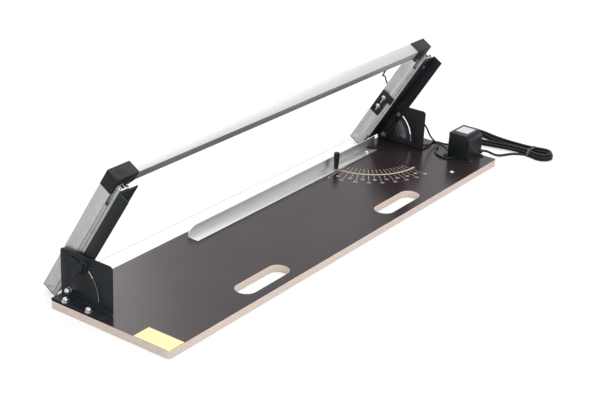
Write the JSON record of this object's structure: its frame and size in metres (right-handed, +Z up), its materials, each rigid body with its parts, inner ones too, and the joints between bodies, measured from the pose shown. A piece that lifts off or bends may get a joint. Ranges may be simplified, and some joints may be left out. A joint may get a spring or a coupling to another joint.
{
  "type": "hot-wire foam board cutter",
  "caption": "Bench cutting table with a tilting bow on drawer slides, a swivelling fence with a degree scale, and a transformer for its hot wire.",
  "frame": {"origin": "middle of the board's underside", "axes": "+X along the board towards the transformer end, +Y towards the back edge with the brackets, +Z up"},
  "size_m": [1.4643, 0.4772, 0.3288],
  "materials": {
    "ply": "film-faced birch plywood, brown film and pale edges",
    "paper": "plain cream paper label",
    "label_grey": "dark printed foil",
    "label_pale": "plain pale foil",
    "coated_steel": "black powder coat",
    "zinc": "bright zinc plated steel",
    "slide_steel": "rolled zinc plated steel",
    "aluminium": "satin anodised aluminium",
    "moulded": "black glass-filled nylon",
    "case": "black moulded case",
    "cord": "black PVC cord sheath",
    "brass": "brass",
    "nylon": "natural nylon",
    "ceramic": "glazed ceramic",
    "wire": "resistance alloy wire"
  },
  "bodies": {
    "base": {"base_board": "ply", "corner_sticker": "paper", "front_screw": "zinc", "front_screw_washer": "zinc", "tilt_scale_label": "label_grey", "near_bracket": "coated_steel", "far_bracket": "coated_steel", "foot_bolts": "zinc", "board_nuts": "zinc", "fence_pivot_bolt": "zinc", "transformer_base": "coated_steel", "transformer_screws": "zinc", "transformer_case": "case", "transformer_cover": "case", "transformer_label": "label_pale", "mains_gland": "moulded", "mains_lead": "cord", "cord_hank": "cord", "cord_tie": "cord", "mains_tail": "cord", "mains_plug": "moulded", "plug_pins": "zinc", "lead_box": "moulded", "bow_lead_a": "cord", "bow_lead_b": "cord"},
    "tilt_frame": {"near_rail": "coated_steel", "far_rail": "coated_steel", "near_slide_outer": "slide_steel", "far_slide_outer": "slide_steel", "rail_screws": "zinc", "pivot_bolts": "zinc", "pivot_nuts": "zinc", "pivot_shims": "nylon", "clamp_bolts": "zinc", "clamp_washers": "zinc"},
    "slide_middles": {"near_slide_middle": "slide_steel", "far_slide_middle": "slide_steel", "ball_cages": "slide_steel"},
    "bow": {"near_slide_inner": "slide_steel", "far_slide_inner": "slide_steel", "near_arm": "aluminium", "far_arm": "aluminium", "near_elbow": "moulded", "far_elbow": "moulded", "top_bar": "aluminium", "arm_screws": "zinc", "arm_feet": "moulded", "elbow_screws": "zinc", "anchor_insulators": "ceramic", "anchor_screws": "brass", "wire_spring": "zinc", "hot_wire": "wire", "stop_block": "moulded", "stop_screws": "zinc", "jumper_lead": "cord"},
    "near_lever": {"near_clamp_lever": "moulded"},
    "far_lever": {"far_clamp_lever": "moulded"},
    "fence": {"fence_angle": "aluminium", "fence_stud": "zinc"},
    "fence_grip": {"fence_knob": "moulded"}
  },
  "joints": [
    {"name": "bow_tilt", "type": "hinge", "parent": "base", "child": "tilt_frame", "pos_m": [0, 0.136, 0.036], "axis": [1, 0, 0], "range_deg": [-31.2, 58.8]},
    {"name": "bow_lift", "type": "slide", "parent": "tilt_frame", "child": "bow", "axis": [0, -0.518, 0.8554], "range_m": [0, 0.25]},
    {"name": "slide_middle_lift", "type": "slide", "parent": "tilt_frame", "child": "slide_middles", "axis": [0, -0.518, 0.8554], "range_m": [0, 0.125]},
    {"name": "near_lever_turn", "type": "hinge", "parent": "tilt_frame", "child": "near_lever", "pos_m": [-0.6205, 0.09508, 0.10357], "axis": [1, 0, 0], "range_deg": [-25, 60]},
    {"name": "far_lever_turn", "type": "hinge", "parent": "tilt_frame", "child": "far_lever", "pos_m": [0.576, 0.09508, 0.10357], "axis": [1, 0, 0], "range_deg": [-25, 60]},
    {"name": "fence_swing", "type": "hinge", "parent": "base", "child": "fence", "pos_m": [0.453, 0.117, 0.0195], "axis": [0, 0, 1], "range_deg": [0, 90]},
    {"name": "fence_grip_turn", "type": "hinge", "parent": "fence", "child": "fence_grip", "pos_m": [0.3097, 0.117, 0.03], "axis": [0, 0, 1], "range_deg": [-180, 180]}
  ],
  "couplings": [
    {"joint": "slide_middle_lift", "follows": "bow_lift", "ratio": 0.5}
  ]
}
